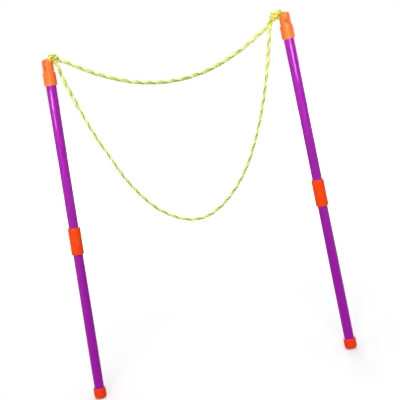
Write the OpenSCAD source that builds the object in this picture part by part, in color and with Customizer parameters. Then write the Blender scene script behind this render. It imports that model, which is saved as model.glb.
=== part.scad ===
// Bubble wand: two jointed plastic wands, held upright side by side, with a cord loop hung between
// their tips. The origin is at the middle of the left wand's butt. +Z runs up, +X from the left wand
// to the right one, and the wands lean towards each other at the top.

/* [Layout] */
// Distance between the butts of the two wands
butt_gap = 335; // [320:1:400]
// Lean of the left wand towards the right one, in degrees
left_lean = 3.5; // [3:0.1:5]
// Lean of the right wand towards the left one, in degrees
right_lean = 1.7; // [1:0.1:3]

/* [Tubes] */
// Outside diameter of both tubes
tube_d = 12.7; // [11.5:0.1:13.5]
// Wall of both tubes
tube_wall = 1.2; // [0.8:0.1:1.6]
// Length of the lower tube that shows
lower_show = 180.3; // [120:0.1:220]
// Length of the upper tube that shows
upper_show = 179; // [120:1:220]
// Gap between a tube and the fitting round it
fit_gap = 0.1; // [0.05:0.05:0.2]

/* [End cap] */
// Outside diameter of the end cap
cap_d = 16; // [15:0.1:20]
// Height of the end cap
cap_h = 13.2; // [10:0.1:25]
// Thickness of the end cap's floor
cap_floor = 2.5; // [1.5:0.1:4]
// Rounding round the end cap's foot
cap_foot_round = 3; // [1:0.1:4]
// Rounding round the end cap's rim
cap_rim_round = 1; // [0.3:0.1:1.3]

/* [Coupler] */
// Outside diameter of the coupler
coupler_d = 16; // [15:0.1:20]
// Length of the coupler
coupler_len = 34.5; // [32:0.5:50]
// Depth that the lower tube goes into the coupler
coupler_lower_grip = 23; // [18:0.5:25]
// Rounding round both ends of the coupler
coupler_round = 0.8; // [0.3:0.1:1.2]
// Thickness of the rib that stops the tubes in the coupler and the collar
stop_t = 1.5; // [1:0.1:3]

/* [Snap button] */
// Width of the button round the tube
button_w = 3.2; // [3:0.1:4.5]
// Length of the button along the tube
button_len = 9; // [6:0.1:10]
// Distance from the lower tube's top end to the middle of the button
button_drop = 6.8; // [6.5:0.1:10]
// Height of the button above the coupler
button_proud = 0.3; // [0.1:0.1:0.8]
// Gap round the button in its windows
button_gap = 0.25; // [0.15:0.05:0.4]
// Width of the rim that keeps the button in the tube
button_rim = 0.8; // [0.5:0.1:1]
// Depth of that rim, from the tube's bore to the button's flat back
rim_depth = 1.8; // [1.4:0.1:2.2]
// Turn of the left wand's button from the front, in degrees
left_button_turn = 25; // [-180:5:180]
// Turn of the right wand's button from the front, in degrees
right_button_turn = -160; // [-180:5:180]

/* [Button spring] */
// Thickness of the spring leaf
leaf_t = 0.6; // [0.4:0.1:0.8]
// Width of the spring leaf
leaf_w = 4; // [3:0.1:4.5]
// Length of the spring leaf below the middle of the button
leaf_drop = 30; // [20:1:60]

/* [Tip collar] */
// Outside diameter of the tip collar
collar_d = 16; // [15:0.1:20]
// Length of the tip collar
collar_len = 16.5; // [15:0.5:25]
// Depth that the upper tube goes into the collar
collar_grip = 10.5; // [8:0.5:12]
// Rounding round both ends of the collar
collar_round = 0.8; // [0.3:0.1:1.2]

/* [Tip] */
// Outside diameter of the tip's nose
nose_d = 13.6; // [13.2:0.1:14.4]
// Length of the nose above the collar
nose_len = 16.5; // [16:0.5:24]
// Rounding round the top of the nose
nose_round = 4.5; // [3:0.1:5]
// Rounding round the foot of the nose
nose_foot_round = 0.3; // [0.1:0.1:0.5]
// Diameter of the stem that goes into the collar
stem_d = 12; // [11:0.1:12.6]
// Gap below the stem
stem_gap = 0.3; // [0.1:0.1:1]
// Diameter of the hollow inside the nose and stem
hollow_d = 8.8; // [6:0.1:9.4]
// Diameter of the two pockets in the crown
pocket_d = 4.8; // [4.7:0.1:5]
// Distance from the tip's axis to the middle of each pocket
pocket_out = 3.4; // [3.3:0.1:3.6]
// Diameter of the eye that leads from the pockets to the sides
eye_d = 4.8; // [4.7:0.1:5]
// Distance from the top of the nose to the middle of the eye
eye_drop = 5.6; // [5.4:0.1:6]
// Width of the notch in front of each pocket
notch_w = 4; // [2:0.1:4.4]
// Depth of the notch below the top of the nose
notch_drop = 3.8; // [2.5:0.1:4.5]
// Width of each slit in the skirt
slit_w = 1.5; // [0.8:0.1:2]
// Length of each slit
slit_len = 5.6; // [3:0.1:6]
// Height of the slits above the collar
slit_up = 1.8; // [1:0.1:2.4]
// Number of slits
slit_count = 3; // [2:1:5]
// Turn of the left wand's first slit from the front, away from the cord, in degrees
left_slit_turn = 18; // [0:1:90]
// Turn of the right wand's first slit from the front, away from the cord, in degrees
right_slit_turn = 5; // [0:1:90]

/* [Cord] */
// Diameter of the cord
cord_d = 4.5; // [4:0.1:4.5]
// Diameter of a knot
knot_d = 8.8; // [8:0.1:9]

/* [Hidden] */
$fn = 64;

// Colours
cap_colour = [0.95, 0.24, 0.12];
coupler_colour = [0.97, 0.30, 0.12];
tip_colour = [0.98, 0.50, 0.24];
tube_colour = [0.60, 0.07, 0.62];
spring_colour = [0.75, 0.75, 0.78];
cord_colour = [0.74, 0.79, 0.28];

// How far a cut runs past the face it opens
overrun = 1;

// Radii
tube_r = tube_d / 2;
bore_r = tube_r - tube_wall;
sleeve_r = tube_r + fit_gap;
cord_r = cord_d / 2;
nose_r = nose_d / 2;
stem_r = stem_d / 2;

// Heights along a wand, from its butt
lower_start = cap_floor;
coupler_start = cap_h + lower_show;
lower_end = coupler_start + coupler_lower_grip;
upper_start = lower_end + stop_t;
coupler_end = coupler_start + coupler_len;
collar_start = coupler_end + upper_show;
upper_end = collar_start + collar_grip;
collar_end = collar_start + collar_len;
nose_top = collar_end + nose_len;
button_mid = lower_end - button_drop;

// The button's flat back, where the spring leaf bears on it
button_back = bore_r - rim_depth;
// The other arm of the spring lies along the far side of the bore
leaf_far = sqrt(pow(bore_r - fit_gap, 2) - pow(leaf_w / 2, 2));
leaf_far_up = leaf_drop - button_len / 2;
// The eye runs through the pockets at this height
eye_up = nose_top - eye_drop;
// The hollow stops below the pockets
hollow_top = collar_end + slit_up + slit_len;
stem_len = collar_len - collar_grip - stop_t - stem_gap;

// A knot is a core with one turn of cord drawn tight round it
turn_section = 2.2;
turn_r = knot_d / 2 - turn_section;
core_r = 2.6;
ball_in = 0.2;
ball_r = knot_d / 2 - ball_in;
neck_r = 3.4;
neck_taper = 0.3;
// A cord is this much thicker where it turns into a knot
swell = 0.1;

// Where the knots and the neck of the right one lie, [out from the tip's axis, back, down from the
// top of the nose]
left_knot_by_tip = [9.5, 0, 0.3];
right_knot_by_tip = [13.6, 0, 3.3];
right_neck_by_tip = [17.8, 0, 9.6];

// Routes of the two strands, [across from the left knot, down from it], drawn for knots this far apart
drawn_span = 272.1;
upper_route = [[5.6, 3.8], [15.8, 9.7], [27.1, 16.8], [38.3, 23.9], [49.6, 30], [61.8, 36.1],
    [74.1, 41.2], [86.3, 45.8], [98.6, 49.3], [111.8, 51.9], [125.1, 53.9], [138.4, 54.4],
    [151.6, 54.4], [164.9, 52.8], [178.1, 50.8], [191.4, 47.2], [203.7, 43.1], [215.9, 38],
    [228.2, 32.3], [240.5, 25.7], [250.8, 19.5], [261, 13.6]];
lower_route = [[1.1, 7.7], [3.9, 20.9], [7.3, 35.2], [11.5, 49.5], [20.3, 77.9], [25, 92.1],
    [35.8, 120], [42, 133.7], [47.6, 147.3], [53.8, 160.9], [61, 173.5], [68.6, 185.6],
    [77.3, 197.2], [86.9, 207.8], [97.6, 216.3], [109.8, 223.9], [123.4, 228.9], [137.6, 230.4],
    [151.8, 227.4], [164.9, 220.9], [176.6, 212.3], [187.3, 202.2], [196.4, 191.7], [205, 180.1],
    [212.7, 168], [219.3, 155.3], [225.4, 142.7], [231.1, 129.5], [236.2, 116.3], [245.9, 89.4],
    [250.1, 75.6], [254.2, 61.9], [257.8, 48.1], [261.5, 32.8], [264.9, 17.4]];

// Routes of the loops, [out from the tip's axis, back, down from the top of the nose]
left_loop_route = [[7.9, 0, -2.6], [6.8, 0, -2.8], [5.7, 0, -2.8], [4, 0, -2.1],
    [3.3, 0, -0.4], [3.3, 0, 1.1], [3.4, 0, 3.2], [3.72, 0, 4.4], [4.6, 0, 5.28],
    [5.8, 0, 5.6], [7, 0, 5.6]];
right_loop_route = [[9.4, 0, 0.4], [8, 0, -0.8], [6.8, 0, -1.6], [5.5, 0, -1.9],
    [3.87, 0, -1.23], [3.3, 0, 0.4], [3.4, 0, 3.2], [3.72, 0, 4.4], [4.6, 0, 5.28],
    [5.8, 0, 5.6], [7, 0, 5.6], [8.6, 0, 5.3]];

// A point given by its tip, as a point by its upright wand, and as it stands once the wand leans
function by_wand(p) = [p[0], p[1], nose_top - p[2]];
function leant(p, lean) = [p[0] * cos(lean) + p[2] * sin(lean), p[1], p[2] * cos(lean) - p[0] * sin(lean)];
function swapped(p) = [butt_gap - p[0], p[1], p[2]];
left_knot_at = leant(by_wand(left_knot_by_tip), left_lean);
right_knot_at = swapped(leant(by_wand(right_knot_by_tip), right_lean));
right_neck_at = swapped(leant(by_wand(right_neck_by_tip), right_lean));
stretch = (right_knot_at[0] - left_knot_at[0]) / drawn_span;

// Every route as points in space
function hung(route) = [for (p = route) left_knot_at + [p[0] * stretch, 0, -p[1]]];
function by_nose(route) = [for (p = route) by_wand(p)];
function unit(v) = v / norm(v);
function along(p, i) = unit(p[min(i + 1, len(p) - 1)] - p[max(i - 1, 0)]);

// Lean a wand built upright at the origin into its place, its cord side towards the other wand
module on_left() {
    rotate([0, left_lean, 0])
    children();
}

module on_right() {
    translate([butt_gap, 0, 0])
    rotate([0, -right_lean, 0])
    mirror([1, 0, 0])
    children();
}

// A cord: one ring of eight points at each point of its route
module cord_tube(p) {
    sides = 8;
    rings = [for (i = [0 : len(p) - 1])
        let (t = along(p, i), n = unit(cross([0, 1, 0], t)), b = cross(t, n))
        for (k = [0 : sides - 1])
        let (a = 360 * k / sides)
        p[i] + cord_r * (cos(a) * n + sin(a) * b)];
    walls = [for (i = [0 : len(p) - 2], k = [0 : sides - 1])
        let (m = (k + 1) % sides)
        each [[i * sides + k, i * sides + m, (i + 1) * sides + m],
            [i * sides + k, (i + 1) * sides + m, (i + 1) * sides + k]]];
    near_end = [[for (k = [sides - 1 : -1 : 0]) k]];
    far_end = [[for (k = [0 : sides - 1]) (len(p) - 1) * sides + k]];
    polyhedron(points = rings, faces = [for (f = concat(near_end, walls, far_end))
        [for (k = [len(f) - 1 : -1 : 0]) f[k]]]);
}

// Turn +Z to run along a vector in the X-Z plane
module aim(v) {
    rotate([0, atan2(v[0], v[2]), 0])
    children();
}

// A ring turned from a round section
module ring(middle_r, section_r) {
    rotate_extrude()
    translate([middle_r, 0])
    circle(section_r);
}

// A short round end of cord that runs on from the first point of a route, away from the second
module tail(first, second, tail_len) {
    on = unit(first - second);
    translate(first)
    aim(on)
    cylinder(h = tail_len, r = cord_r);
    translate(first + tail_len * on)
    sphere(cord_r + swell);
}

// A sleeve with rounded outer edges, turned from its section, and its bore cut later
module turned(r, from, to, foot_round, top_round) {
    rotate_extrude()
    union() {
        translate([0, from])
        square([r - foot_round, foot_round]);
        translate([0, from + foot_round])
        square([r, to - from - foot_round - top_round]);
        translate([0, to - top_round])
        square([r - top_round, top_round]);
        intersection() {
            translate([r - foot_round, from + foot_round])
            circle(foot_round);
            translate([0, from])
            square([r, foot_round]);
        }
        intersection() {
            translate([r - top_round, to - top_round])
            circle(top_round);
            translate([0, to - top_round])
            square([r, top_round]);
        }
    }
}

// A straight tube between two heights
module tube(from, to) {
    difference() {
        translate([0, 0, from])
        cylinder(h = to - from, r = tube_r);
        translate([0, 0, from - overrun])
        cylinder(h = to - from + 2 * overrun, r = bore_r);
    }
}

// An oval bar that runs out towards the front, from one distance off the axis to another
module oval_bar(w, long, from, to) {
    translate([0, -from, button_mid])
    rotate([90, 0, 0])
    linear_extrude(height = to - from)
    union() {
        square([w, long - w], center = true);
        for (end = [-1, 1])
            translate([0, end * (long - w) / 2])
            circle(w / 2);
    }
}

// The windows that the button looks out of
module button_window(turn) {
    rotate([0, 0, turn])
    oval_bar(button_w + 2 * button_gap, button_len + 2 * button_gap, 0, coupler_d);
}

module end_cap() {
    color(cap_colour)
    difference() {
        turned(cap_d / 2, 0, cap_h, cap_foot_round, cap_rim_round);
        translate([0, 0, cap_floor])
        cylinder(h = cap_h, r = sleeve_r);
    }
}

module lower_tube(turn) {
    color(tube_colour)
    difference() {
        tube(lower_start, lower_end);
        button_window(turn);
    }
}

module coupler(turn) {
    color(coupler_colour)
    difference() {
        turned(coupler_d / 2, coupler_start, coupler_end, coupler_round, coupler_round);
        translate([0, 0, coupler_start - overrun])
        cylinder(h = coupler_lower_grip + overrun, r = sleeve_r);
        translate([0, 0, upper_start])
        cylinder(h = coupler_end - upper_start + overrun, r = sleeve_r);
        translate([0, 0, coupler_start])
        cylinder(h = coupler_len, r = bore_r);
        button_window(turn);
    }
}

module button(turn) {
    color(coupler_colour)
    rotate([0, 0, turn])
    union() {
        intersection() {
            oval_bar(button_w, button_len, button_back, coupler_d);
            cylinder(h = coupler_end, r = coupler_d / 2 + button_proud);
        }
        intersection() {
            oval_bar(button_w + 2 * button_rim, button_len + 2 * button_rim, button_back, coupler_d);
            cylinder(h = coupler_end, r = bore_r - fit_gap);
        }
    }
}

// A leaf bent into a long narrow U: one arm behind the button, the other along the far side
module button_spring(turn) {
    bend_r = (button_back + leaf_far) / 2;
    bend_mid = (button_back - leaf_far) / 2;
    color(spring_colour)
    rotate([0, 0, turn])
    translate([-leaf_w / 2, 0, button_mid])
    rotate([90, 0, 90])
    linear_extrude(height = leaf_w)
    union() {
        translate([-button_back, -leaf_drop])
        square([leaf_t, leaf_drop + button_len / 2]);
        translate([leaf_far - leaf_t, -leaf_drop])
        square([leaf_t, leaf_far_up]);
        translate([-bend_mid, -leaf_drop])
        difference() {
            circle(bend_r);
            circle(bend_r - leaf_t);
            translate([-2 * bend_r, 0])
            square(4 * bend_r);
        }
    }
}

module upper_tube() {
    color(tube_colour)
    tube(upper_start, upper_end);
}

module tip_collar() {
    color(tip_colour)
    difference() {
        turned(collar_d / 2, collar_start, collar_end, collar_round, collar_round);
        translate([0, 0, collar_start - overrun])
        cylinder(h = collar_grip + overrun, r = sleeve_r);
        translate([0, 0, collar_start])
        cylinder(h = collar_len, r = hollow_d / 2);
        translate([0, 0, upper_end + stop_t])
        cylinder(h = collar_len, r = stem_r + fit_gap);
    }
}

module tip(slit_turn) {
    color(tip_colour)
    difference() {
        union() {
            turned(nose_r, collar_end, nose_top, nose_foot_round, nose_round);
            translate([0, 0, collar_end - stem_len])
            cylinder(h = stem_len + nose_round, r = stem_r);
        }
        translate([0, 0, collar_end - stem_len - overrun])
        cylinder(h = hollow_top - collar_end + stem_len + overrun, r = hollow_d / 2);
        for (side = [-1, 1])
            translate([side * pocket_out, 0, eye_up]) {
                cylinder(h = eye_drop + overrun, r = pocket_d / 2);
                sphere(pocket_d / 2);
                rotate([0, side * 90, 0])
                cylinder(h = nose_r, r = eye_d / 2);
            }
        for (side = [-1, 1])
            translate([side * pocket_out, -nose_r - overrun, nose_top - notch_drop + notch_w / 2]) {
                rotate([-90, 0, 0])
                cylinder(h = nose_r + overrun, r = notch_w / 2);
                translate([-notch_w / 2, 0, 0])
                cube([notch_w, nose_r + overrun, notch_drop]);
            }
        for (k = [0 : slit_count - 1])
            rotate([0, 0, k * 360 / slit_count - slit_turn])
            translate([-slit_w / 2, -nose_r - overrun, collar_end + slit_up])
            cube([slit_w, nose_r + overrun, slit_len]);
    }
}

module loop(route) {
    color(cord_colour)
    cord_tube(by_nose(route));
}

// The left knot: a core with one turn of cord round it, and four short ends
module left_knot_body() {
    n = len(left_loop_route);
    ends = by_nose(left_loop_route);
    upper = hung(upper_route);
    lower = hung(lower_route);
    color(cord_colour)
    union() {
        translate(left_knot_at)
        sphere(core_r);
        translate(left_knot_at)
        aim([1, 0, 0])
        ring(turn_r, turn_section);
        tail(upper[0], upper[1], cord_d);
        tail(lower[0], lower[1], cord_d);
        on_left() {
            tail(ends[0], ends[1], cord_r);
            tail(ends[n - 1], ends[n - 2], cord_r);
        }
    }
}

// The right knot is longer: a ball, a narrower neck where the strands part, and four short ends
module right_knot_body() {
    n = len(right_loop_route);
    ends = by_nose(right_loop_route);
    upper = hung(upper_route);
    lower = hung(lower_route);
    last = len(upper) - 1;
    end = len(lower) - 1;
    to_neck = right_neck_at - right_knot_at;
    color(cord_colour)
    union() {
        translate(right_knot_at)
        sphere(ball_r);
        translate(right_knot_at)
        aim(to_neck)
        cylinder(h = norm(to_neck), r1 = ball_r - neck_taper, r2 = neck_r - neck_taper);
        translate(right_neck_at)
        sphere(neck_r);
        tail(upper[last], upper[last - 1], cord_d);
        tail(lower[end], lower[end - 1], cord_d);
        on_right() {
            tail(ends[0], ends[1], cord_r);
            tail(ends[n - 1], ends[n - 2], cord_r);
        }
    }
}

module left_end_cap() {
    on_left()
    end_cap();
}

module left_lower_tube() {
    on_left()
    lower_tube(left_button_turn);
}

module left_coupler() {
    on_left()
    coupler(left_button_turn);
}

module left_button() {
    on_left()
    button(left_button_turn);
}

module left_button_spring() {
    on_left()
    button_spring(left_button_turn);
}

module left_upper_tube() {
    on_left()
    upper_tube();
}

module left_tip_collar() {
    on_left()
    tip_collar();
}

module left_tip() {
    on_left()
    tip(left_slit_turn);
}

module left_loop() {
    on_left()
    loop(left_loop_route);
}

module left_knot() {
    left_knot_body();
}

module right_end_cap() {
    on_right()
    end_cap();
}

module right_lower_tube() {
    on_right()
    lower_tube(right_button_turn);
}

module right_coupler() {
    on_right()
    coupler(right_button_turn);
}

module right_button() {
    on_right()
    button(right_button_turn);
}

module right_button_spring() {
    on_right()
    button_spring(right_button_turn);
}

module right_upper_tube() {
    on_right()
    upper_tube();
}

module right_tip_collar() {
    on_right()
    tip_collar();
}

module right_tip() {
    on_right()
    tip(right_slit_turn);
}

module right_loop() {
    on_right()
    loop(right_loop_route);
}

module right_knot() {
    right_knot_body();
}

module upper_strand() {
    color(cord_colour)
    cord_tube(hung(upper_route));
}

module lower_strand() {
    color(cord_colour)
    cord_tube(hung(lower_route));
}

left_end_cap();
left_lower_tube();
left_coupler();
left_button();
left_button_spring();
left_upper_tube();
left_tip_collar();
left_tip();
left_loop();
left_knot();
right_end_cap();
right_lower_tube();
right_coupler();
right_button();
right_button_spring();
right_upper_tube();
right_tip_collar();
right_tip();
right_loop();
right_knot();
upper_strand();
lower_strand();
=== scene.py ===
import math

import bmesh
import bpy
from mathutils import Matrix, Vector


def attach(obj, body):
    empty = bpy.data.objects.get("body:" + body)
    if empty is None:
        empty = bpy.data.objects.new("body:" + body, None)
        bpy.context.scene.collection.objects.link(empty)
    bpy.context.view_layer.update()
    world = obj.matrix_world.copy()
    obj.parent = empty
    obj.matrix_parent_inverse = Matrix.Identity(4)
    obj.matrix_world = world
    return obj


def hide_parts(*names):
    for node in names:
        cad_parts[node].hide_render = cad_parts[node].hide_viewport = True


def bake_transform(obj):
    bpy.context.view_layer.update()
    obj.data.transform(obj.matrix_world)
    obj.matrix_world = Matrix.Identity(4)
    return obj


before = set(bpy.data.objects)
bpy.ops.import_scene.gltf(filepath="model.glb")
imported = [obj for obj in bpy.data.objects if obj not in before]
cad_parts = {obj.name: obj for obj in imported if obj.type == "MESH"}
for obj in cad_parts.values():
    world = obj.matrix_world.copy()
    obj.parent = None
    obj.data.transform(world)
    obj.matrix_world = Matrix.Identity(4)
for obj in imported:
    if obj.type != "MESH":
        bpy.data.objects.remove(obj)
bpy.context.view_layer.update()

# The camera stands a metre in front of the wands at the height of their tips, pitched down a
# little and rolled, so that the pair leans in the frame as it does in the photograph.
CAMERA_PLACE = Vector((0.1712, -0.9624, 0.385))
CAMERA_PITCH = math.radians(-9.09)
CAMERA_YAW = math.radians(0.37)
CAMERA_ROLL = math.radians(11.12)
CAMERA_LENS = 69.3
FILM_WIDTH = 36
camera_ahead = Vector(
    (
        math.sin(CAMERA_YAW) * math.cos(CAMERA_PITCH),
        math.cos(CAMERA_YAW) * math.cos(CAMERA_PITCH),
        math.sin(CAMERA_PITCH),
    )
)
level_right = Vector((math.cos(CAMERA_YAW), -math.sin(CAMERA_YAW), 0))
level_up = level_right.cross(camera_ahead)
camera_right = math.cos(CAMERA_ROLL) * level_right - math.sin(CAMERA_ROLL) * level_up
camera_up = math.sin(CAMERA_ROLL) * level_right + math.cos(CAMERA_ROLL) * level_up
camera_data = bpy.data.cameras.new("camera")
camera_data.lens = CAMERA_LENS
camera_data.sensor_width = FILM_WIDTH
camera_data.clip_start = 0.01
camera = bpy.data.objects.new("camera", camera_data)
camera.matrix_world = Matrix.Translation(CAMERA_PLACE) @ Matrix(
    (camera_right, camera_up, -camera_ahead)
).transposed().to_4x4()
bpy.context.scene.collection.objects.link(camera)
bpy.context.scene.camera = camera


# The cord is a soft laid rope of three plies, two yellow-green and one cream, turned right-handed
# with a lay of about three diameters. Each ply is a bundle of fine yarn, so its surface is matt
# and faintly ribbed along its own length.
PLY_RADIUS = 0.00118
PLY_OUT = 0.00107
CORD_LAY = 0.0147
PLY_SIDES = 10
ROPE_STEP = 0.001
MM_PER_METRE = 1000


def yarn_material(name, colour, shade):
    """A ply of fine yarn: ribs along the ply with painted shade in their grooves, and small
    patches of colour.
    """
    yarn = bpy.data.materials.new(name)
    yarn.use_nodes = True
    nodes, links = yarn.node_tree.nodes, yarn.node_tree.links
    shader = nodes["Principled BSDF"]
    shader.inputs["Specular IOR Level"].default_value = 0.25
    shader.inputs["Sheen Weight"].default_value = 0.35
    shader.inputs["Sheen Roughness"].default_value = 0.5
    uv = nodes.new("ShaderNodeUVMap")
    uv.uv_map = "yarn"
    ribs_at = nodes.new("ShaderNodeMapping")
    ribs_at.inputs["Scale"].default_value = (14, 420, 1)
    ribs = nodes.new("ShaderNodeTexNoise")
    ribs.inputs["Scale"].default_value = 1.0
    ribs.inputs["Detail"].default_value = 3
    links.new(uv.outputs["UV"], ribs_at.inputs["Vector"])
    links.new(ribs_at.outputs["Vector"], ribs.inputs["Vector"])
    place = nodes.new("ShaderNodeTexCoord")
    patches = nodes.new("ShaderNodeTexNoise")
    patches.inputs["Scale"].default_value = 260
    patches.inputs["Detail"].default_value = 2
    links.new(place.outputs["Object"], patches.inputs["Vector"])
    # Painted shade: the grooves between the ribs take the darker shade colour and their crowns the
    # ply's own colour, so the crowns read paler.
    painted_groove_shade = nodes.new("ShaderNodeMix")
    painted_groove_shade.data_type = "RGBA"
    painted_groove_shade.inputs["A"].default_value = (*shade, 1)
    painted_groove_shade.inputs["B"].default_value = (*colour, 1)
    rib_range = nodes.new("ShaderNodeMapRange")
    rib_range.inputs["From Min"].default_value = 0.3
    rib_range.inputs["From Max"].default_value = 0.62
    links.new(ribs.outputs["Fac"], rib_range.inputs["Value"])
    links.new(rib_range.outputs["Result"], painted_groove_shade.inputs["Factor"])
    patchy = nodes.new("ShaderNodeMix")
    patchy.data_type = "RGBA"
    patchy.blend_type = "MULTIPLY"
    patchy.inputs["Factor"].default_value = 0.35
    links.new(painted_groove_shade.outputs["Result"], patchy.inputs["A"])
    links.new(patches.outputs["Fac"], patchy.inputs["B"])
    links.new(patchy.outputs["Result"], shader.inputs["Base Color"])
    rough = nodes.new("ShaderNodeMapRange")
    rough.inputs["To Min"].default_value = 0.92
    rough.inputs["To Max"].default_value = 0.7
    links.new(ribs.outputs["Fac"], rough.inputs["Value"])
    links.new(rough.outputs["Result"], shader.inputs["Roughness"])
    bump = nodes.new("ShaderNodeBump")
    bump.inputs["Strength"].default_value = 0.6
    bump.inputs["Distance"].default_value = 0.0002
    links.new(ribs.outputs["Fac"], bump.inputs["Height"])
    links.new(bump.outputs["Normal"], shader.inputs["Normal"])
    return yarn


yarns = [
    yarn_material("olive_yarn", (0.54, 0.65, 0.07), (0.36, 0.45, 0.04)),
    yarn_material("lime_yarn", (0.82, 0.92, 0.16), (0.58, 0.67, 0.07)),
    yarn_material("cream_yarn", (0.95, 0.97, 0.54), (0.81, 0.84, 0.36)),
]


def smooth_line(points, step):
    """Points every step along a smooth curve through the given points."""
    line = []
    for i in range(len(points) - 1):
        p0 = points[i - 1] if i else 2 * points[0] - points[1]
        p1, p2 = points[i], points[i + 1]
        p3 = points[i + 2] if i + 2 < len(points) else 2 * p2 - p1
        parts = max(1, round((p2 - p1).length / step))
        for k in range(parts):
            t = k / parts
            line.append(
                0.5
                * (
                    2 * p1
                    + (p2 - p0) * t
                    + (2 * p0 - 5 * p1 + 4 * p2 - p3) * t * t
                    + (3 * p1 - p0 - 3 * p2 + p3) * t * t * t
                )
            )
    line.append(points[-1])
    return line


def carried_frames(line, first_side):
    """At each point of a line, its heading and two sideways axes that don't twist."""
    frames = []
    side = first_side
    for i in range(len(line)):
        ahead = (line[min(i + 1, len(line) - 1)] - line[max(i - 1, 0)]).normalized()
        side = (side - ahead * side.dot(ahead)).normalized()
        frames.append((ahead, side, ahead.cross(side)))
    return frames


def sweep_round(bm, line, radius, sides, slot_index, first_side):
    """A closed round tube along a line, with the length along it kept in the yarn map."""
    uv = bm.loops.layers.uv.get("yarn") or bm.loops.layers.uv.new("yarn")
    rings, lengths, run = [], [], 0.0
    for i, (ahead, side, other) in enumerate(carried_frames(line, first_side)):
        run += (line[i] - line[i - 1]).length if i else 0
        lengths.append(run)
        turns = [2 * math.pi * k / sides for k in range(sides)]
        rings.append(
            [
                bm.verts.new(
                    line[i] + radius * (math.cos(a) * side + math.sin(a) * other)
                )
                for a in turns
            ]
        )
    for i in range(len(rings) - 1):
        for k in range(sides):
            m = (k + 1) % sides
            face = bm.faces.new(
                (rings[i][k], rings[i][m], rings[i + 1][m], rings[i + 1][k])
            )
            face.smooth = True
            face.material_index = slot_index
            for loop, (a, b) in zip(
                face.loops, ((k, i), (k + 1, i), (k + 1, i + 1), (k, i + 1))
            ):
                loop[uv].uv = (a / sides, lengths[b])
    for ring in (rings[0][::-1], rings[-1]):
        face = bm.faces.new(ring)
        face.material_index = slot_index


def lay_rope(bm, points, phase, squeeze=1.0):
    """Three plies laid round the line through the points, from a phase, drawn in by squeeze."""
    line = smooth_line(points, ROPE_STEP)
    frames = carried_frames(line, Vector((0, -1, 0)))
    run, turns = 0.0, []
    for i in range(len(line)):
        run += (line[i] - line[i - 1]).length if i else 0
        turns.append(phase + 2 * math.pi * run / CORD_LAY)
    for ply in range(3):
        lift = 2 * math.pi * ply / 3
        centre = [
            p
            + PLY_OUT
            * squeeze
            * (math.cos(a + lift) * side + math.sin(a + lift) * other)
            for p, a, (ahead, side, other) in zip(line, turns, frames)
        ]
        sweep_round(
            bm, centre, PLY_RADIUS * squeeze, PLY_SIDES, ply, Vector((0, -1, 0))
        )
    return line


def cord_piece(name, ropes, body, node, plies=yarns):
    """Lengths of rope, each with its route, phase and squeeze, that stand for a cord node."""
    bm = bmesh.new()
    lines = [lay_rope(bm, points, phase, squeeze) for points, phase, squeeze in ropes]
    mesh = bpy.data.meshes.new(name)
    bm.to_mesh(mesh)
    bm.free()
    for yarn in plies:
        mesh.materials.append(yarn)
    piece = bpy.data.objects.new(name, mesh)
    bpy.context.scene.collection.objects.link(piece)
    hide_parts(node)
    if body:
        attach(piece, body)
    return piece, lines


def in_metres(route):
    """Points of a route in the plane of the wands, from millimetres."""
    return [Vector((x / MM_PER_METRE, 0, z / MM_PER_METRE)) for x, z in route]


# The upper strand is the short side of the cord loop. It hangs from knot to knot in a shallow
# curve.
upper_route = in_metres(
    [
        (41.9, 434.5), (52.1, 428.6), (63.4, 421.5), (74.6, 414.4), (85.9, 408.3),
        (98.1, 402.2), (110.4, 397.1), (122.6, 392.5), (134.9, 389), (148.1, 386.4),
        (161.4, 384.4), (174.7, 383.9), (187.9, 383.9), (201.2, 385.5), (214.4, 387.5),
        (227.7, 391.1), (240, 395.2), (252.2, 400.3), (264.5, 406), (276.8, 412.6),
        (287.1, 418.8), (297.3, 424.7),
    ]
)  # fmt: skip
upper_strand, upper_lines = cord_piece(
    "upper_cord", [(upper_route, 0.4, 1.0)], None, "upper_strand"
)
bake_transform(upper_strand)

# The lower strand is the long side of the loop, the one that a bubble hangs from. It drops from
# the knots in a deep curve and carries the same lay.
lower_route = in_metres(
    [
        (37.4, 430.6), (40.2, 417.4), (43.6, 403.1), (47.8, 388.8), (52, 374.6), (56.6, 360.4),
        (61.3, 346.2), (66.5, 332), (72.1, 318.3), (78.3, 304.6), (83.9, 291), (90.1, 277.4),
        (97.3, 264.8), (104.9, 252.7), (113.6, 241.1), (123.2, 230.5), (133.9, 222),
        (146.1, 214.4), (159.7, 209.4), (173.9, 207.9), (188.1, 210.9), (201.2, 217.4),
        (212.9, 226), (223.6, 236.1), (232.7, 246.6), (241.3, 258.2), (249, 270.3),
        (255.6, 283), (261.7, 295.6), (267.4, 308.8), (272.5, 322), (277.6, 335.2),
        (282.2, 348.9), (286.4, 362.7), (290.5, 376.4), (294.1, 390.2), (297.8, 405.5),
        (301.2, 420.9),
    ]
)  # fmt: skip
lower_strand, lower_lines = cord_piece(
    "lower_cord", [(lower_route, 1.2, 1.0)], None, "lower_strand"
)
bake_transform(lower_strand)

# Each loop is the same cord, threaded through the pocket in the tip's crown and out of the eye in
# its side, and tied back on itself. The wands lean, so a loop is placed from its tip's own axes.
LEFT_LEAN = math.radians(3.5)
RIGHT_LEAN = math.radians(-1.7)
BUTT_GAP = 0.335
TIP_TOP = 0.44
left_wand = Matrix.Rotation(LEFT_LEAN, 4, "Y")
right_wand = Matrix.Translation((BUTT_GAP, 0, 0)) @ Matrix.Rotation(
    RIGHT_LEAN, 4, "Y"
)


def by_tip(route, wand, towards):
    """Points given as out from a tip's axis, back, and down from its top, in millimetres."""
    return [
        wand
        @ Vector(
            (
                towards * out / MM_PER_METRE,
                back / MM_PER_METRE,
                TIP_TOP - down / MM_PER_METRE,
            )
        )
        for out, back, down in route
    ]


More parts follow.
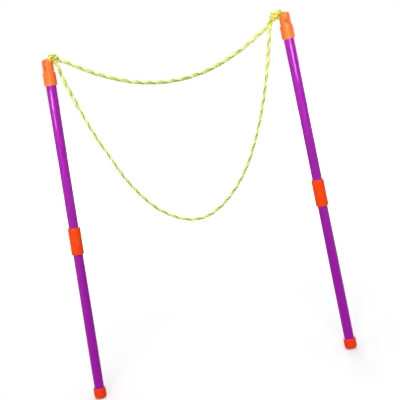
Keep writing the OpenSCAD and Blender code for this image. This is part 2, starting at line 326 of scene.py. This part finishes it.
left_loop_route = by_tip(
    [
        (7.9, 0, -2.6), (6.8, 0, -2.8), (5.7, 0, -2.8), (4, 0, -2.1), (3.3, 0, -0.4),
        (3.3, 0, 1.1), (3.4, 0, 3.2), (3.72, 0, 4.4), (4.6, 0, 5.28), (5.8, 0, 5.6),
        (7, 0, 5.6),
    ],
    left_wand,
    1,
)  # fmt: skip
right_loop_route = by_tip(
    [
        (9.4, 0, 0.4), (8, 0, -0.8), (6.8, 0, -1.6), (5.5, 0, -1.9), (3.87, 0, -1.23),
        (3.3, 0, 0.4), (3.4, 0, 3.2), (3.72, 0, 4.4), (4.6, 0, 5.28), (5.8, 0, 5.6),
        (7, 0, 5.6), (8.6, 0, 5.3),
    ],
    right_wand,
    -1,
)  # fmt: skip
# Painted light and shade: the loops and knots take copies of the cord's yarns retinted yellower,
# which stand in for how the light falls on the tight cord there; the cord itself is the same.
knot_yarn_copies_painted_light = [
    yarn_material("olive_yarn_painted_knot_light", (0.6, 0.58, 0.04), (0.4, 0.38, 0.02)),
    yarn_material("lime_yarn_painted_knot_light", (0.92, 0.9, 0.1), (0.7, 0.68, 0.05)),
    yarn_material("cream_yarn_painted_knot_light", (0.95, 0.94, 0.24), (0.82, 0.8, 0.14)),
]
left_loop, _ = cord_piece(
    "left_cord_loop",
    [(left_loop_route, 0.0, 0.98)],
    "left_wand",
    "left_loop",
    knot_yarn_copies_painted_light,
)
right_loop, _ = cord_piece(
    "right_cord_loop",
    [(right_loop_route, 2.4, 0.98)],
    "right_wand",
    "right_loop",
    knot_yarn_copies_painted_light,
)

# The knots are drawn down hard: a turn and a bit of the cord round the lengths that it binds. The
# left one sits close against the tip, and the right one is longer, with a neck where the two
# strands part, and a bight of the cord lies between it and its tip.
TURN_STEPS = 12
WRAP_RADIUS = 0.0026
WRAP_PITCH = 0.0036


def wrapped(centre, along, turns, start):
    """A line that winds round an axis through centre, from the angle start."""
    along = along.normalized()
    side = Vector((0, -1, 0))
    other = along.cross(side)
    angles = [2 * math.pi * k / TURN_STEPS for k in range(round(turns * TURN_STEPS) + 1)]
    return [
        centre
        + along * WRAP_PITCH * (a / (2 * math.pi) - turns / 2)
        + WRAP_RADIUS * (math.cos(start + a) * side + math.sin(start + a) * other)
        for a in angles
    ]


def into_knot(first, second, knot):
    """A short length from a cord's end on into its knot."""
    on = (first - second).normalized()
    straight, turn_in = 0.003, 0.005
    return [first, first + on * straight, (first + on * turn_in + knot) / 2, knot]


left_knot_at, left_knot_foot = by_tip([(9.5, 0, 0.3), (13, 0, 4)], left_wand, 1)
left_knot, _ = cord_piece(
    "left_cord_knot",
    [
        (
            wrapped(left_knot_at, left_knot_foot - left_knot_at, turns=1.7, start=2.2),
            0.3,
            1.0,
        ),
        (into_knot(upper_route[0], upper_route[1], left_knot_at), 0.4, 0.95),
        (into_knot(lower_route[0], lower_route[1], left_knot_at), 1.2, 0.95),
        (into_knot(left_loop_route[0], left_loop_route[1], left_knot_at), 0.5, 0.95),
        (into_knot(left_loop_route[-1], left_loop_route[-2], left_knot_at), 0.5, 0.95),
    ],
    "left_wand",
    "left_knot",
    knot_yarn_copies_painted_light,
)
right_knot_at, right_neck_at = by_tip([(13.6, 0, 3.3), (17.8, 0, 9.6)], right_wand, -1)
right_bight = by_tip(
    [
        (12.4, -1.4, -0.8), (9.6, -2.3, -1), (7.4, -2.5, -0.1), (8.8, -2.6, 2.4),
        (10, -2.4, 5), (12.6, -1.8, 6.2),
    ],
    right_wand,
    -1,
)  # fmt: skip
right_knot, _ = cord_piece(
    "right_cord_knot",
    [
        (right_bight, 1.4, 0.95),
        (
            wrapped(right_knot_at, right_neck_at - right_knot_at, turns=2.0, start=0.8),
            0.3,
            1.0,
        ),
        (into_knot(upper_route[-1], upper_route[-2], right_knot_at), 2.0, 1.0),
        (into_knot(lower_route[-1], lower_route[-2], right_knot_at), 1.0, 1.0),
        (into_knot(right_loop_route[0], right_loop_route[1], right_knot_at), 0.5, 0.95),
        (into_knot(right_loop_route[-1], right_loop_route[-2], right_knot_at), 0.5, 0.95),
    ],
    "right_wand",
    "right_knot",
    knot_yarn_copies_painted_light,
)


# The tubes are extruded purple plastic with a smooth glossy skin. Fine draw lines run along them,
# and their edges are painted paler, partly as scuffing where they are pushed into the couplers
# and caps and partly as a painted highlight on the rims.
DEEPER_SHARE = 0.9
SMOOTHER_BY = 0.06
ROUGHER_BY = 0.1


def add_socket(group, name, way, kind, value=None):
    """A named socket on a node group."""
    socket = group.interface.new_socket(name=name, in_out=way, socket_type=kind)
    if value is not None:
        socket.default_value = value
    return socket


edge_glint_scuff_grain = bpy.data.node_groups.new("scuffed_and_glinting_edges", "ShaderNodeTree")
add_socket(edge_glint_scuff_grain, "Edge Width", "INPUT", "NodeSocketFloat", 0.0004)
add_socket(edge_glint_scuff_grain, "Grain Scale", "INPUT", "NodeSocketFloat", 900)
add_socket(edge_glint_scuff_grain, "Edge", "OUTPUT", "NodeSocketFloat")
add_socket(edge_glint_scuff_grain, "Patches", "OUTPUT", "NodeSocketFloat")
add_socket(edge_glint_scuff_grain, "Grain", "OUTPUT", "NodeSocketFloat")
nodes, links = edge_glint_scuff_grain.nodes, edge_glint_scuff_grain.links
group_in = nodes.new("NodeGroupInput")
group_out = nodes.new("NodeGroupOutput")
rounded = nodes.new("ShaderNodeBevel")
rounded.samples = 6
flat = nodes.new("ShaderNodeNewGeometry")
bend = nodes.new("ShaderNodeVectorMath")
bend.operation = "DOT_PRODUCT"
links.new(group_in.outputs["Edge Width"], rounded.inputs["Radius"])
links.new(rounded.outputs["Normal"], bend.inputs[0])
links.new(flat.outputs["Normal"], bend.inputs[1])
# Painted highlight and scuffing: a band along sharp edges, painted paler by the materials, stands
# partly for scuff marks and partly for glints on the rims.
edge_glint_and_scuff_mask = nodes.new("ShaderNodeMapRange")
edge_glint_and_scuff_mask.inputs["From Min"].default_value = 0.995
edge_glint_and_scuff_mask.inputs["From Max"].default_value = 0.93
links.new(bend.outputs["Value"], edge_glint_and_scuff_mask.inputs["Value"])
place = nodes.new("ShaderNodeTexCoord")
patches = nodes.new("ShaderNodeTexNoise")
patches.inputs["Scale"].default_value = 55
patches.inputs["Detail"].default_value = 4
links.new(place.outputs["Object"], patches.inputs["Vector"])
broken = nodes.new("ShaderNodeMath")
broken.operation = "MULTIPLY"
broken.use_clamp = True
uneven = nodes.new("ShaderNodeMapRange")
uneven.inputs["To Min"].default_value = 0.45
uneven.inputs["To Max"].default_value = 1.35
links.new(patches.outputs["Fac"], uneven.inputs["Value"])
links.new(edge_glint_and_scuff_mask.outputs["Result"], broken.inputs[0])
links.new(uneven.outputs["Result"], broken.inputs[1])
grain = nodes.new("ShaderNodeTexNoise")
grain.inputs["Detail"].default_value = 2
links.new(place.outputs["Object"], grain.inputs["Vector"])
links.new(group_in.outputs["Grain Scale"], grain.inputs["Scale"])
links.new(broken.outputs["Value"], group_out.inputs["Edge"])
links.new(patches.outputs["Fac"], group_out.inputs["Patches"])
links.new(grain.outputs["Fac"], group_out.inputs["Grain"])


def plastic_material(name, colour, edge_glint_and_scuff_colour, roughness, edge, gloss, lines=0.0, lean=0.0):
    """Moulded or extruded plastic: faint patches, on a tube draw lines, and edges painted paler
    for scuffing and a rim highlight.
    """
    plastic = bpy.data.materials.new(name)
    plastic.use_nodes = True
    nodes, links = plastic.node_tree.nodes, plastic.node_tree.links
    shader = nodes["Principled BSDF"]
    shader.inputs["IOR"].default_value = 1.5
    shader.inputs["Specular IOR Level"].default_value = gloss
    marks_and_glints = nodes.new("ShaderNodeGroup")
    marks_and_glints.node_tree = edge_glint_scuff_grain
    marks_and_glints.inputs["Edge Width"].default_value = edge
    tone = nodes.new("ShaderNodeMix")
    tone.data_type = "RGBA"
    tone.inputs["A"].default_value = (*[c * DEEPER_SHARE for c in colour], 1)
    tone.inputs["B"].default_value = (*colour, 1)
    links.new(marks_and_glints.outputs["Patches"], tone.inputs["Factor"])
    # The edge band mixes in the paler edge colour: partly scuffing, partly a painted highlight on
    # the rims.
    edge_glint_and_scuff_mix = nodes.new("ShaderNodeMix")
    edge_glint_and_scuff_mix.data_type = "RGBA"
    edge_glint_and_scuff_mix.inputs["B"].default_value = (*edge_glint_and_scuff_colour, 1)
    links.new(tone.outputs["Result"], edge_glint_and_scuff_mix.inputs["A"])
    links.new(marks_and_glints.outputs["Edge"], edge_glint_and_scuff_mix.inputs["Factor"])
    links.new(edge_glint_and_scuff_mix.outputs["Result"], shader.inputs["Base Color"])
    rough = nodes.new("ShaderNodeMapRange")
    rough.inputs["To Min"].default_value = roughness - SMOOTHER_BY
    rough.inputs["To Max"].default_value = roughness + ROUGHER_BY
    links.new(marks_and_glints.outputs["Patches"], rough.inputs["Value"])
    links.new(rough.outputs["Result"], shader.inputs["Roughness"])
    bump = nodes.new("ShaderNodeBump")
    bump.inputs["Strength"].default_value = 0.05
    bump.inputs["Distance"].default_value = 0.00005
    if lines:
        place = nodes.new("ShaderNodeTexCoord")
        turned = nodes.new("ShaderNodeMapping")
        turned.inputs["Rotation"].default_value = (0, -lean, 0)
        turned.inputs["Scale"].default_value = (1, 1, 0.01)
        drawn = nodes.new("ShaderNodeTexNoise")
        drawn.inputs["Scale"].default_value = 1400
        drawn.inputs["Detail"].default_value = 2
        links.new(place.outputs["Object"], turned.inputs["Vector"])
        links.new(turned.outputs["Vector"], drawn.inputs["Vector"])
        both = nodes.new("ShaderNodeMath")
        both.operation = "MULTIPLY_ADD"
        both.inputs[1].default_value = lines
        links.new(drawn.outputs["Fac"], both.inputs[0])
        links.new(marks_and_glints.outputs["Grain"], both.inputs[2])
        links.new(both.outputs["Value"], bump.inputs["Height"])
    else:
        links.new(marks_and_glints.outputs["Grain"], bump.inputs["Height"])
    links.new(bump.outputs["Normal"], shader.inputs["Normal"])
    return plastic


def dress(node, plastic):
    """Gives a CAD node its material."""
    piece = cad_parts[node]
    piece.data.materials.clear()
    piece.data.materials.append(plastic)


for side, lean in (("left", LEFT_LEAN), ("right", RIGHT_LEAN)):
    tube_plastic = plastic_material(
        side + "_tube_plastic",
        colour=(0.33, 0.0005, 0.36),
        edge_glint_and_scuff_colour=(0.55, 0.12, 0.58),
        roughness=0.09,
        edge=0.0003,
        gloss=0.14,
        lines=1.5,
        lean=lean,
    )
    dress(side + "_lower_tube", tube_plastic)
    dress(side + "_upper_tube", tube_plastic)

# The end caps are moulded orange-red cups, pushed on to the butts of the lower tubes. They take
# the knocks, so their edges are the most scuffed; the paler band there is also a painted highlight
# on the rims.
cap_plastic = plastic_material(
    "cap_plastic",
    colour=(0.93, 0.042, 0.003),
    edge_glint_and_scuff_colour=(1.0, 0.13, 0.07),
    roughness=0.32,
    edge=0.0006,
    gloss=0.09,
)
for side in ("left", "right"):
    dress(side + "_end_cap", cap_plastic)

# The couplers are moulded sleeves in nearly the caps' orange-red. Each is fixed to its upper tube
# and takes the lower one, which the snap button holds.
# Its edges are painted paler, partly as scuffing and partly as a painted highlight on the rims.
coupler_plastic = plastic_material(
    "coupler_plastic",
    colour=(0.97, 0.064, 0.002),
    edge_glint_and_scuff_colour=(1.0, 0.17, 0.07),
    roughness=0.32,
    edge=0.0004,
    gloss=0.09,
)
for side in ("left", "right"):
    dress(side + "_coupler", coupler_plastic)

# The snap buttons are moulded in nearly the couplers' colour and stand on springs in the lower
# tubes. Their edges are painted a little paler, partly as rubbing by thumbs and partly as a
# painted highlight on the rims.
button_plastic = plastic_material(
    "button_plastic",
    colour=(1.0, 0.085, 0.02),
    edge_glint_and_scuff_colour=(1.0, 0.17, 0.08),
    roughness=0.34,
    edge=0.0002,
    gloss=0.15,
)
for side in ("left", "right"):
    dress(side + "_button", button_plastic)

# The snap buttons' springs are bent steel strip inside the lower tubes: a long narrow U, whose
# front arm stands behind the button and goes in with it while the back arm stays on the far wall.
LEAF_THICK = 0.0006
LEAF_WIDE = 0.004
LEAF_FRONT = 0.00305
LEAF_BACK = 0.004337
LEAF_FOOT = 0.1797
LEAF_FRONT_TOP = 0.2142
LEAF_BACK_TOP = 0.2052
LEAF_BEND_STEPS = 24
LEAF_ROUND = 0.00012
LEAF_CREASE = 1.0
LEFT_BUTTON_TURN = math.radians(25)
RIGHT_BUTTON_TURN = math.radians(-160)
spring_steel = bpy.data.materials.new("spring_steel")
spring_steel.use_nodes = True
nodes, links = spring_steel.node_tree.nodes, spring_steel.node_tree.links
shader = nodes["Principled BSDF"]
shader.inputs["Metallic"].default_value = 1.0
marks_and_glints = nodes.new("ShaderNodeGroup")
marks_and_glints.node_tree = edge_glint_scuff_grain
steel_tone = nodes.new("ShaderNodeMix")
steel_tone.data_type = "RGBA"
steel_tone.inputs["A"].default_value = (0.5, 0.5, 0.52, 1)
steel_tone.inputs["B"].default_value = (0.72, 0.72, 0.75, 1)
links.new(marks_and_glints.outputs["Grain"], steel_tone.inputs["Factor"])
links.new(steel_tone.outputs["Result"], shader.inputs["Base Color"])
steel_rough = nodes.new("ShaderNodeMapRange")
steel_rough.inputs["To Min"].default_value = 0.25
steel_rough.inputs["To Max"].default_value = 0.45
links.new(marks_and_glints.outputs["Grain"], steel_rough.inputs["Value"])
links.new(steel_rough.outputs["Result"], shader.inputs["Roughness"])
bend_middle = (LEAF_BACK - LEAF_FRONT) / 2


def drawn_out(bm, end, along):
    """Extrudes the end of a strip by a length and gives its new end."""
    grown = bmesh.ops.extrude_face_region(bm, geom=[end, *end.edges, *end.verts])["geom"]
    corners = [part for part in grown if isinstance(part, bmesh.types.BMVert)]
    bmesh.ops.translate(bm, verts=corners, vec=along)
    return next(part for part in grown if isinstance(part, bmesh.types.BMFace))


for side, wand, mirror, turn in (
    ("left", left_wand, 1, LEFT_BUTTON_TURN),
    ("right", right_wand, -1, RIGHT_BUTTON_TURN),
):
    place = wand @ Matrix.Diagonal((mirror, 1, 1, 1)) @ Matrix.Rotation(turn, 4, "Z")
    bm = bmesh.new()
    bmesh.ops.create_grid(bm, x_segments=1, y_segments=1, size=0.5)
    bmesh.ops.scale(bm, verts=bm.verts, vec=(LEAF_WIDE, LEAF_THICK, 1))
    bmesh.ops.translate(bm, verts=bm.verts, vec=(0, -LEAF_FRONT, LEAF_FRONT_TOP))
    (cut,) = bm.faces
    end = drawn_out(bm, cut, (0, 0, LEAF_FOOT - LEAF_FRONT_TOP))
    bent = bmesh.ops.spin(
        bm,
        geom=[end, *end.edges, *end.verts],
        cent=(0, bend_middle, LEAF_FOOT),
        axis=(1, 0, 0),
        angle=math.pi,
        steps=LEAF_BEND_STEPS,
    )["geom_last"]
    end = next(part for part in bent if isinstance(part, bmesh.types.BMFace))
    drawn_out(bm, end, (0, 0, LEAF_BACK_TOP - LEAF_FOOT))
    sharp_edges = [edge for edge in bm.edges if edge.calc_face_angle() > LEAF_CREASE]
    bmesh.ops.bevel(
        bm,
        geom=sharp_edges,
        offset=LEAF_ROUND,
        segments=2,
        affect="EDGES",
        profile=0.5,
        material=-1,
    )
    bmesh.ops.transform(bm, matrix=place, verts=bm.verts)
    bmesh.ops.recalc_face_normals(bm, faces=bm.faces)
    for face in bm.faces:
        face.smooth = True
    for edge in bm.edges:
        edge.smooth = edge.calc_face_angle() < LEAF_CREASE
    leaf_mesh = bpy.data.meshes.new(side + "_spring_leaf")
    bm.to_mesh(leaf_mesh)
    bm.free()
    leaf_mesh.materials.append(spring_steel)
    leaf = bpy.data.objects.new(side + "_spring_leaf", leaf_mesh)
    bpy.context.scene.collection.objects.link(leaf)
    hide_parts(side + "_button_spring")
    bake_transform(leaf)

# The tip collars and tips are moulded in a lighter orange. The collar is pushed on to the upper
# tube, and the tip is a plug in the collar with an eye for the cord.
# Their edges are painted paler, partly as scuffing and partly as a painted highlight on the rims.
tip_plastic = plastic_material(
    "tip_plastic",
    colour=(0.95, 0.17, 0.025),
    edge_glint_and_scuff_colour=(1.0, 0.26, 0.09),
    roughness=0.26,
    edge=0.0003,
    gloss=0.12,
)
for side in ("left", "right"):
    dress(side + "_tip_collar", tip_plastic)
    dress(side + "_tip", tip_plastic)

# The wands stand on a plain white floor that keeps their soft shadow. Near them it shows its own
# paint, and further out it glows up to the white of the background. It throws little light back.
FLOOR_DROP = 0.0006
FLOOR_HALF = 30
MIDDLE_X = 0.17
PAINT_SEEN = 0.82
PAINT_BOUNCED = 0.14
GLOW_NEAR = 0.03
GLOW_FROM = 0.3
GLOW_FULL = 1.1


def rays_that_see(nodes, links, ray):
    """1 for the rays that meet the white background: from the camera, a gloss or clear stuff."""
    either = ray.outputs["Is Camera Ray"]
    for kind in ("Is Glossy Ray", "Is Transmission Ray"):
        largest = nodes.new("ShaderNodeMath")
        largest.operation = "MAXIMUM"
        links.new(either, largest.inputs[0])
        links.new(ray.outputs[kind], largest.inputs[1])
        either = largest.outputs["Value"]
    return either


bm = bmesh.new()
bmesh.ops.create_grid(bm, x_segments=1, y_segments=1, size=FLOOR_HALF)
bmesh.ops.translate(bm, verts=bm.verts, vec=(0, 0, -FLOOR_DROP))
floor_mesh = bpy.data.meshes.new("floor")
bm.to_mesh(floor_mesh)
bm.free()
floor = bpy.data.objects.new("floor", floor_mesh)
bpy.context.scene.collection.objects.link(floor)
floor_paint = bpy.data.materials.new("floor_paint")
floor_paint.use_nodes = True
nodes, links = floor_paint.node_tree.nodes, floor_paint.node_tree.links
nodes.clear()
matt = nodes.new("ShaderNodeBsdfDiffuse")
glow = nodes.new("ShaderNodeEmission")
place = nodes.new("ShaderNodeTexCoord")
centred = nodes.new("ShaderNodeVectorMath")
centred.operation = "SUBTRACT"
centred.inputs[1].default_value = (MIDDLE_X, 0, -FLOOR_DROP)
away = nodes.new("ShaderNodeVectorMath")
away.operation = "LENGTH"
fade = nodes.new("ShaderNodeMapRange")
fade.interpolation_type = "SMOOTHSTEP"
fade.inputs["From Min"].default_value = GLOW_FROM
fade.inputs["From Max"].default_value = GLOW_FULL
fade.inputs["To Min"].default_value = GLOW_NEAR
fade.inputs["To Max"].default_value = 1.0
ray = nodes.new("ShaderNodeLightPath")
shown = rays_that_see(nodes, links, ray)
pale = nodes.new("ShaderNodeMapRange")
pale.inputs["To Min"].default_value = PAINT_SEEN
pale.inputs["To Max"].default_value = PAINT_BOUNCED
bounced = nodes.new("ShaderNodeMath")
bounced.operation = "SUBTRACT"
bounced.use_clamp = True
bounced.inputs[0].default_value = 1.0
links.new(shown, bounced.inputs[1])
links.new(bounced.outputs["Value"], pale.inputs["Value"])
links.new(pale.outputs["Result"], matt.inputs["Color"])
seen = nodes.new("ShaderNodeMath")
seen.operation = "MULTIPLY"
total = nodes.new("ShaderNodeAddShader")
out = nodes.new("ShaderNodeOutputMaterial")
links.new(place.outputs["Object"], centred.inputs[0])
links.new(centred.outputs["Vector"], away.inputs[0])
links.new(away.outputs["Value"], fade.inputs["Value"])
links.new(shown, seen.inputs[0])
links.new(fade.outputs["Result"], seen.inputs[1])
links.new(seen.outputs["Value"], glow.inputs["Strength"])
links.new(matt.outputs["BSDF"], total.inputs[0])
links.new(glow.outputs["Emission"], total.inputs[1])
links.new(total.outputs["Shader"], out.inputs["Surface"])
floor_mesh.materials.append(floor_paint)

# The room is an even soft light, and the camera, glossy surfaces and clear ones see it as white.
# A broad lamp at the front, one behind and one above light the wands. Two narrow ones throw the
# streaks of light on the upper tubes, and a small one fills in from the front left.
FILL = 0.58
world = bpy.data.worlds.new("studio")
bpy.context.scene.world = world
world.use_nodes = True
nodes, links = world.node_tree.nodes, world.node_tree.links
nodes.clear()
room = nodes.new("ShaderNodeBackground")
room.inputs["Color"].default_value = (1, 1, 1, 1)
room.inputs["Strength"].default_value = FILL
white = nodes.new("ShaderNodeBackground")
white.inputs["Color"].default_value = (1, 1, 1, 1)
white.inputs["Strength"].default_value = 1.0
ray = nodes.new("ShaderNodeLightPath")
pick = nodes.new("ShaderNodeMixShader")
out = nodes.new("ShaderNodeOutputWorld")
links.new(rays_that_see(nodes, links, ray), pick.inputs["Fac"])
links.new(room.outputs["Background"], pick.inputs[1])
links.new(white.outputs["Background"], pick.inputs[2])
links.new(pick.outputs["Shader"], out.inputs["Surface"])


def softbox(name, place, aim, wide, high, power, spread=180):
    """A soft rectangular lamp that faces a point."""
    data = bpy.data.lights.new(name, "AREA")
    data.shape = "RECTANGLE"
    data.size = wide
    data.size_y = high
    data.energy = power
    data.spread = math.radians(spread)
    lamp = bpy.data.objects.new(name, data)
    lamp.location = place
    lamp.rotation_euler = (Vector(aim) - Vector(place)).to_track_quat("-Z", "Y").to_euler()
    bpy.context.scene.collection.objects.link(lamp)


softbox("front", (-0.35, -4.5, 1.6), (MIDDLE_X, 0, 0.3), wide=2.2, high=1.7, power=150)
softbox("back", (0.3, 4.5, 1.6), (MIDDLE_X, 0, 0.3), wide=2.2, high=1.7, power=95)
softbox(
    "left_strip",
    (-0.52, -1.5, 0.41),
    (0.02, 0, 0.375),
    wide=0.14,
    high=0.18,
    power=0.044,
    spread=8,
)
softbox(
    "right_strip",
    (0.52, -1.587, 0.4),
    (0.325, 0, 0.385),
    wide=0.12,
    high=0.14,
    power=0.04,
    spread=7,
)
softbox("front_left", (-1.1, -1.2, 0.3), (MIDDLE_X, 0, 0.25), wide=0.4, high=0.6, power=1.5)
softbox("above", (MIDDLE_X, -0.1, 1.6), (MIDDLE_X, 0, 0), wide=1.2, high=1.2, power=9)

bpy.context.scene.view_settings.view_transform = "Standard"
